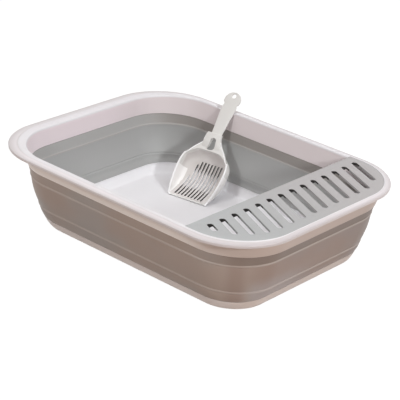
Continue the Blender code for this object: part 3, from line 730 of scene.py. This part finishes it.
def end_outline(ring, edge_x):
    """The step end of a ring, cut off straight across the tray."""
    kept = [point for point in corner_arcs(ring) if point[0] > edge_x]
    far = [point for point in kept if point[1] > 0.0]
    near = [point for point in kept if point[1] < 0.0]
    return [(edge_x, -ring.half_width), *near, *far, (edge_x, ring.half_width)]


def mesh_object(name, shape):
    """A new object with the mesh of a finished bmesh."""
    mesh = bpy.data.meshes.new(name)
    shape.to_mesh(mesh)
    shape.free()
    made = bpy.data.objects.new(name, mesh)
    scene.collection.objects.link(made)
    return made


def upright_walls(name, points, low, high, capped=True):
    """A flat outline stood up from low to high."""
    shape = bmesh.new()
    bottom = [shape.verts.new((x, y, low)) for x, y in points]
    top = [shape.verts.new((x, y, high)) for x, y in points]
    for i in range(len(points)):
        j = (i + 1) % len(points)
        shape.faces.new((bottom[i], bottom[j], top[j], top[i]))
    if capped:
        shape.faces.new(reversed(bottom))
        shape.faces.new(top)
        bmesh.ops.recalc_face_normals(shape, faces=shape.faces)
    return mesh_object(name, shape)


# A row of slots, each as long as the field leaves room for, as blocks to cut with.
slot_tree, given = new_tree(
    "row_of_slots",
    [
        ("Field", "NodeSocketObject"),
        ("Count", "NodeSocketInt"),
        ("First", "NodeSocketVector"),
        ("Spacing", "NodeSocketVector"),
        ("Heading", "NodeSocketFloat"),
        ("Width", "NodeSocketFloat"),
        ("Corner", "NodeSocketFloat"),
        ("Depth", "NodeSocketFloat"),
        ("Material", "NodeSocketMaterial"),
    ],
)
nodes = Wire(slot_tree)
field = nodes.node("GeometryNodeObjectInfo", {"Object": given["Field"]}, out="Geometry")
row_of_points = nodes.node(
    "GeometryNodeMeshLine",
    {"Count": given["Count"], "Start Location": given["First"], "Offset": given["Spacing"]},
    mode="OFFSET",
)
cosine = nodes.math("COSINE", given["Heading"])
sine = nodes.math("SINE", given["Heading"])
heading = nodes.node("ShaderNodeCombineXYZ", {0: cosine, 1: sine})
here = nodes.node("GeometryNodeInputPosition")


def field_edge(reach):
    """Where a ray to the point, from this far along the heading, first meets the field's edge."""
    away = heading.node("ShaderNodeVectorMath", {0: heading, "Scale": reach}, operation="SCALE")
    source = heading.node("ShaderNodeVectorMath", {0: here, 1: away}, operation="ADD")
    back = heading.node("ShaderNodeVectorMath", {0: heading, "Scale": -reach}, operation="SCALE")
    return heading.node(
        "GeometryNodeRaycast",
        {"Target Geometry": field, "Source Position": source, "Ray Direction": back, "Ray Length": 2.0},
        out="Hit Position",
    )


first_end = field_edge(-0.5)
second_end = field_edge(0.5)
both_ends = nodes.node("ShaderNodeVectorMath", {0: first_end, 1: second_end}, operation="ADD")
slot_middle = nodes.node("ShaderNodeVectorMath", {0: both_ends, "Scale": 0.5}, operation="SCALE")
span = nodes.node("ShaderNodeVectorMath", {0: first_end, 1: second_end}, out="Value", operation="DISTANCE")
stretched = nodes.node(
    "GeometryNodeStoreNamedAttribute",
    {"Geometry": row_of_points, "Name": "reach", "Value": span * 0.5},
    data_type="FLOAT",
    domain="POINT",
)
placed = nodes.node("GeometryNodeSetPosition", {"Geometry": stretched, "Position": slot_middle})
sides = {"Width": given["Width"], "Height": given["Width"]}
square = nodes.node("GeometryNodeCurvePrimitiveQuadrilateral", sides)
rounded = nodes.node(
    "GeometryNodeFilletCurve",
    {"Curve": square, "Count": 6, "Radius": given["Corner"], "Limit Radius": True},
    mode="POLY",
)
face = nodes.node("GeometryNodeFillCurve", {"Curve": rounded}, mode="NGONS")
end_sign = nodes.math("SIGN", parts_of(nodes.node("GeometryNodeInputPosition"))[0])
signed = nodes.node(
    "GeometryNodeStoreNamedAttribute",
    {"Geometry": face, "Name": "end", "Value": end_sign},
    data_type="FLOAT",
    domain="POINT",
)
turned = nodes.node("ShaderNodeCombineXYZ", {2: given["Heading"]})
copies = nodes.node(
    "GeometryNodeInstanceOnPoints", {"Points": placed, "Instance": signed, "Rotation": turned}
)
real = nodes.node("GeometryNodeRealizeInstances", {"Geometry": copies})
reach = nodes.node("GeometryNodeInputNamedAttribute", {"Name": "reach"}, data_type="FLOAT")
end = nodes.node("GeometryNodeInputNamedAttribute", {"Name": "end"}, data_type="FLOAT")
slide = nodes.node("ShaderNodeVectorMath", {0: heading, "Scale": reach * end}, operation="SCALE")
slots = nodes.node("GeometryNodeSetPosition", {"Geometry": real, "Offset": slide})
upwards = nodes.node("ShaderNodeCombineXYZ", {2: given["Depth"]})
raised = nodes.node(
    "GeometryNodeExtrudeMesh",
    {"Mesh": slots, "Offset": upwards, "Offset Scale": 1.0, "Individual": False},
    mode="FACES",
)
underside = nodes.node("GeometryNodeFlipFaces", {"Mesh": slots})
joined = nodes.node("GeometryNodeJoinGeometry", {0: [raised, underside]})
blocks = nodes.node("GeometryNodeMergeByDistance", {"Geometry": joined, "Distance": 1e-6})
finish_tree(blocks, given["Material"])


def slot_blocks(name, field, material, **values):
    piece = bpy.data.objects.new(name, bpy.data.meshes.new(name))
    scene.collection.objects.link(piece)
    modifier = piece.modifiers.new("Slots", "NODES")
    modifier.node_group = slot_tree
    set_inputs(modifier, {"Field": field, "Material": material, **values})
    made_plain(piece)
    bpy.data.objects.remove(field)
    return piece


def cut(piece, other, operation="DIFFERENCE", folded_shell=False):
    modifier = piece.modifiers.new(other.name, "BOOLEAN")
    modifier.operation = operation
    modifier.object = other
    modifier.use_self = folded_shell


def edges_rounded(piece, width, segments=3, angle=40.0):
    modifier = piece.modifiers.new("Rounded", "BEVEL")
    modifier.width = width
    modifier.segments = segments
    modifier.limit_method = "ANGLE"
    modifier.angle_limit = math.radians(angle)


step_finish = Finish("light_grey_polypropylene", ior=1.49)
lengthwise, crosswise, height = parts_of(step_finish.place)
to_far_side = step_finish.rise(crosswise, -0.14, 0.1)
darker_grey = step_finish.mixed(to_far_side, (0.42, 0.432, 0.437), (0.455, 0.437, 0.44))
lighter_grey = step_finish.mixed(to_far_side, (0.465, 0.478, 0.483), (0.50, 0.482, 0.485))
plate_grey = step_finish.mixed(step_finish.noise(11.0, detail=3.0), darker_grey, lighter_grey)
# Painted shade: near the front edge, the walls below the plate's top, the slots' walls among them, and the
# whole underside are painted nearly black.
behind = step_finish.math("GREATER_THAN", lengthwise, step_edge_x + 0.0015)
before_slots_end = step_finish.math("LESS_THAN", lengthwise, first_slot_x + slot_width)
below = step_finish.math("LESS_THAN", height, rim_top - 0.0008)
underneath = step_finish.math("LESS_THAN", height, rim_top - step_thickness + 0.0003)
unlit = step_finish.math("MAXIMUM", behind * below * before_slots_end, behind * underneath)
step_finish.feed("Base Color", step_finish.mixed(unlit, plate_grey, (0.035, 0.032, 0.03)))
step_finish.feed("Roughness", step_finish.noise(70.0, detail=3.0) * 0.16 + 0.36)
step_finish.bump(step_finish.noise(2000.0, detail=1.0), 0.00002)

step = upright_walls("slotted_step", end_outline(step_ring, step_edge_x), rim_top - step_thickness, rim_top)
step.data.materials.append(step_finish.material)
front_edge = upright_walls(
    "front_edge",
    [
        (step_edge_x, -front_half),
        (step_edge_x + front_edge_wall, -front_half),
        (step_edge_x + front_edge_wall, front_half),
        (step_edge_x, front_half),
    ],
    rim_top - step_thickness - front_edge_depth,
    rim_top - step_thickness / 2,
)
field_points = [(x, y + slot_field_aside) for x, y in end_outline(slot_field_ring, first_slot_x)]
step_slots = slot_blocks(
    "step_slots",
    upright_walls("slot_field", field_points, rim_top - 0.05, rim_top + 0.05, capped=False),
    step_finish.material,
    Count=slot_count,
    First=(first_slot_x, slot_row_aside - (slot_count - 1) / 2 * slot_pitch, rim_top - 0.006),
    Spacing=(0.0, slot_pitch, 0.0),
    Heading=slot_slant,
    Width=slot_width,
    Corner=slot_width * 0.49,
    Depth=0.012,
)
cut(step, front_edge, "UNION")
cut(step, step_slots)
edges_rounded(step, 0.0004)
made_plain(step)
for helper in (front_edge, step_slots):
    bpy.data.objects.remove(helper)
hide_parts("step_grid")
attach(step, "step")

# The scoop's basin. A thin off-white moulding, open at the front and slotted along its floor, with a shelf and
# a socket behind it into which the handle plugs.
scoop_lean = math.radians(48.6486)
scoop_turn = math.radians(8.4)
scoop_place = (
    Matrix.Translation((-0.079207, 0.072916, 0.0053))
    @ Matrix.Rotation(scoop_turn, 4, "Z")
    @ Matrix.Rotation(scoop_lean, 4, "X")
)
basin_wall = 0.0028
basin_width = 0.080
basin_depth = 0.022
basin_widest = 0.050
basin_back = 0.084
back_round = 0.013
neck_width = 0.0324
shelf_end = 0.0985
socket_end = 0.1134
socket_half = 0.0162
socket_wall = 0.0014
handle_thickness = 0.0026
handle_gap = 0.0003
basin_slot_width = 0.0029
basin_slot_pitch = 0.0059


def basin_half_width(along):
    if along < basin_widest:
        forward = (basin_widest - along) / basin_widest
        return (basin_width - 0.015 * forward**2) / 2
    back = min((along - basin_widest) / (shelf_end - basin_widest), 1.0)
    return (neck_width + (basin_width - neck_width) * (1 - back**2.7) ** 1.35) / 2


def basin_column(across):
    """Places along the scoop and depths there, from the front edge up the back wall to the shelf's end."""
    back = basin_back - 0.0135 * abs(across) ** 6
    stops = [((back - back_round) * i / 40, 0.0) for i in range(40)]
    for turn in np.linspace(0.0, math.pi / 2, 24):
        stops.append((back - back_round + back_round * math.sin(turn) ** 0.77, turn))
    stops += [(back + (shelf_end - back) * i / 12, math.pi / 2) for i in range(1, 13)]
    column = []
    for along, turn in stops:
        steep = max(math.cos(turn), 0.0) ** 0.77
        soft = 1.03 * steep**3 / (steep**2 + 0.03)
        column.append((along, basin_depth * math.sin(math.pi / 2 * min(along / 0.046, 1.0)) * soft))
    return column


scoop_finish = Finish("off_white_polypropylene", ior=1.49)
slot_side, edged, flank_or_bowl = scoop_finish.paint()
across_scoop, scoop_axis, scoop_upward = scoop_place.to_3x3().col
along = scoop_finish.node(
    "ShaderNodeVectorMath",
    {0: scoop_finish.place, 1: scoop_axis},
    out="Value",
    operation="DOT_PRODUCT",
)
along = along - scoop_axis.dot(scoop_place.translation)
# Painted shade and highlight: the slots' sides are nearly black near the bowl's front and back and light
# between, and the edge all round is light.
shaded = slot_side * (1.0 - scoop_finish.rise(along, 0.020, 0.027) + scoop_finish.rise(along, 0.049, 0.055))
lit_edge = scoop_finish.math("MAXIMUM", edged, slot_side)
# Painted light on the flanks, and painted shade inside the rest of the bowl.
in_bowl = scoop_finish.above_nought(flank_or_bowl * -1.0)
on_flank = scoop_finish.above_nought(flank_or_bowl)
cloudy = scoop_finish.noise(16.0, detail=3.0)
off_white = scoop_finish.mixed(cloudy, (0.725, 0.715, 0.695), (0.79, 0.78, 0.76))
off_white = scoop_finish.mixed(in_bowl, off_white, (0.685, 0.65, 0.635))
off_white = scoop_finish.mixed(on_flank, off_white, (0.95, 0.93, 0.92))
off_white = scoop_finish.mixed(lit_edge, off_white, (0.96, 0.96, 0.97))
scoop_finish.feed("Base Color", scoop_finish.mixed(shaded, off_white, (0.07, 0.06, 0.055)))
scoop_finish.feed("Roughness", scoop_finish.noise(90.0, detail=3.0) * 0.16 + 0.30)
scoop_finish.bump(scoop_finish.noise(2400.0, detail=1.0), 0.00002)

columns = 44
squareness = 0.4
shape = bmesh.new()
sheet = []
for j in range(columns + 1):
    angle = math.pi * j / columns
    across = -math.copysign(abs(math.cos(angle)) ** squareness, math.cos(angle)) if 2 * j != columns else 0.0
    section = max(math.sin(angle), 0.0) ** squareness
    sheet.append(
        [
            shape.verts.new((basin_half_width(along) * across, along, -depth * section))
            for along, depth in basin_column(across)
        ]
    )
for line, following in zip(sheet, sheet[1:]):
    for i in range(len(line) - 1):
        shape.faces.new((line[i], following[i], following[i + 1], line[i + 1]))
basin = mesh_object("scoop_bowl", shape)
basin.data.materials.append(scoop_finish.material)
shell = basin.modifiers.new("Shell", "SOLIDIFY")
shell.thickness = basin_wall
shell.offset = -1.0
edges_rounded(basin, 0.0005, segments=2, angle=50.0)


def bar(name, sections):
    """A closed bar along the scoop. Each section is its place, left side, right side, underside and top."""
    shape = bmesh.new()
    rows = []
    for along, left, right, low, high in sections:
        corners = ((left, low), (right, low), (right, high), (left, high))
        rows.append([shape.verts.new((x, along, z)) for x, z in corners])
    for row, following in zip(rows, rows[1:]):
        for i in range(4):
            j = (i + 1) % 4
            shape.faces.new((row[i], row[j], following[j], following[i]))
    shape.faces.new(rows[0])
    shape.faces.new(reversed(rows[-1]))
    bmesh.ops.recalc_face_normals(shape, faces=shape.faces)
    return mesh_object(name, shape)


deck = handle_thickness / 2 + handle_gap + socket_wall
socket_sections = [(shelf_end - 0.010, -socket_half, socket_half, -basin_wall, 0.0)]
for share in np.linspace(0.0, 1.0, 15):
    along = shelf_end + (socket_end - shelf_end) * share
    left = socket_half - 0.0020 * share**4
    right = 0.0103 + 0.0059 * (1 - share) ** 2
    socket_sections.append((along, -left, right, -deck, deck))
socket_block = bar("socket_block", socket_sections)
edges_rounded(socket_block, 0.0007)
basin_field = upright_walls(
    "basin_field",
    [
        (-0.0265, 0.0059),
        (0.0254, 0.0059),
        (0.0254, 0.0691),
        (-0.0160, 0.0691),
        (-0.0160, 0.0625),
        (-0.0225, 0.0625),
        (-0.0225, 0.0440),
        (-0.0265, 0.0400),
    ],
    -0.06,
    0.06,
    capped=False,
)
basin_slots = slot_blocks(
    "basin_slots",
    basin_field,
    scoop_finish.material,
    Count=9,
    First=(-0.0253, 0.02, -0.026),
    Spacing=(basin_slot_pitch, 0.0, 0.0),
    Heading=math.pi / 2,
    Width=basin_slot_width,
    Corner=0.0013,
    Depth=0.030,
)
window_arc = math.pi * np.arange(13) / 12
window_points = [
    (0.0006 + 0.0050 * math.cos(angle), 0.1010 + 0.0044 * math.sin(angle)) for angle in window_arc
]
window_points += [(-0.0042, 0.0960), (-0.0043, 0.0925), (-0.0057, 0.0905), (-0.0066, 0.0885)]
window_points += [(-0.0062, 0.0868), (-0.0044, 0.0856), (-0.0010, 0.0854), (0.0024, 0.0860)]
window_points += [(0.0048, 0.0874), (0.0060, 0.0896), (0.0064, 0.0930), (0.0061, 0.0975)]
window = upright_walls("neck_window", window_points, -0.01, 0.01)
pocket_half = 0.0094
pocket_points = [(-pocket_half, 0.1068), (pocket_half, 0.1068), (pocket_half, 0.12), (-pocket_half, 0.12)]
pocket_reach = handle_thickness / 2 + handle_gap
pocket = upright_walls("handle_pocket", pocket_points, -pocket_reach, pocket_reach)
for helper in (basin, socket_block, basin_slots, window, pocket):
    helper.matrix_world = scoop_place
cut(basin, socket_block, "UNION", folded_shell=True)
for helper in (basin_slots, window, pocket):
    cut(basin, helper, folded_shell=True)
made_plain(basin)
for vertex in basin.data.vertices:
    vertex.co.z = max(vertex.co.z, pan_floor + 0.0003)

# The faces' paint, which marks where light and shade are painted: the slots' sides, the edge all round, and
# the lit flanks against the rest of the bowl.
to_scoop = scoop_place.inverted()
face_paint = []
for face in basin.data.polygons:
    across, along, level = to_scoop @ face.center
    sideways = abs(face.normal.dot(across_scoop))
    in_slot = sideways > 0.85 and abs(across) < 0.028 and along < 0.072
    at_edge = level > -0.0009 and along < socket_end and basin_half_width(along) - abs(across) < 0.0023
    lit_flank = sideways > 0.3 and abs(across) > 0.029 and along < 0.052
    bowl = level < -0.0015 and face.normal.dot(scoop_upward) > 0.1 and along < 0.086 and not in_slot
    face_paint.append((float(in_slot), float(at_edge and not in_slot), 0.9 if lit_flank else -float(bowl)))
paint = basin.data.attributes.new("paint", "FLOAT_VECTOR", "FACE")
paint.data.foreach_set("vector", np.array(face_paint).ravel())
for helper in (socket_block, basin_slots, window, pocket):
    bpy.data.objects.remove(helper)
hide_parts("scoop_basin")
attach(basin, "scoop")

# The scoop's handle. A flat strip of the same plastic that widens to a round end with a hanging hole, and
# plugs into the basin's socket.
disc_at = 0.1723
disc_radius = 0.0143
disc_opening = math.radians(17.5)
hole_at = disc_at + 0.0078
hole_radius = 0.0036
handle_round = 0.0007
disc = [
    (disc_radius * math.cos(angle), disc_at + disc_radius * math.sin(angle))
    for angle in np.linspace(-disc_opening, math.pi + disc_opening, 49)
]
right_side = [(0.0091, 0.1071), (0.0091, socket_end), (0.0124, 0.160), (0.0110, 0.1656)]
edge_points = [*right_side, *disc, *[(-x, y) for x, y in reversed(right_side)]]
hole_points = [
    (hole_radius * math.cos(angle), hole_at + hole_radius * math.sin(angle))
    for angle in np.arange(32) * math.pi / 16
]
handle_curve = bpy.data.curves.new("scoop_grip", "CURVE")
handle_curve.dimensions = "2D"
handle_curve.fill_mode = "BOTH"
handle_curve.bevel_depth = handle_round
handle_curve.bevel_resolution = 3
handle_curve.offset = -handle_round
handle_curve.extrude = handle_thickness / 2 - handle_round
for points in (edge_points, hole_points):
    spline = handle_curve.splines.new("POLY")
    spline.points.add(len(points) - 1)
    for point, (x, y) in zip(spline.points, points):
        point.co = (x, y, 0.0, 1.0)
    spline.use_cyclic_u = True
handle_guide = bpy.data.objects.new("handle_guide", handle_curve)
scene.collection.objects.link(handle_guide)
graph = bpy.context.evaluated_depsgraph_get()
handle_mesh = bpy.data.meshes.new_from_object(handle_guide.evaluated_get(graph))
bpy.data.objects.remove(handle_guide)
shape = bmesh.new()
shape.from_mesh(handle_mesh)
bmesh.ops.remove_doubles(shape, verts=shape.verts, dist=1e-5)
handle = mesh_object("scoop_grip", shape)
handle.data.materials.append(scoop_finish.material)
handle.matrix_world = scoop_place
made_plain(handle)
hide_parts("scoop_handle")
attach(handle, "handle")
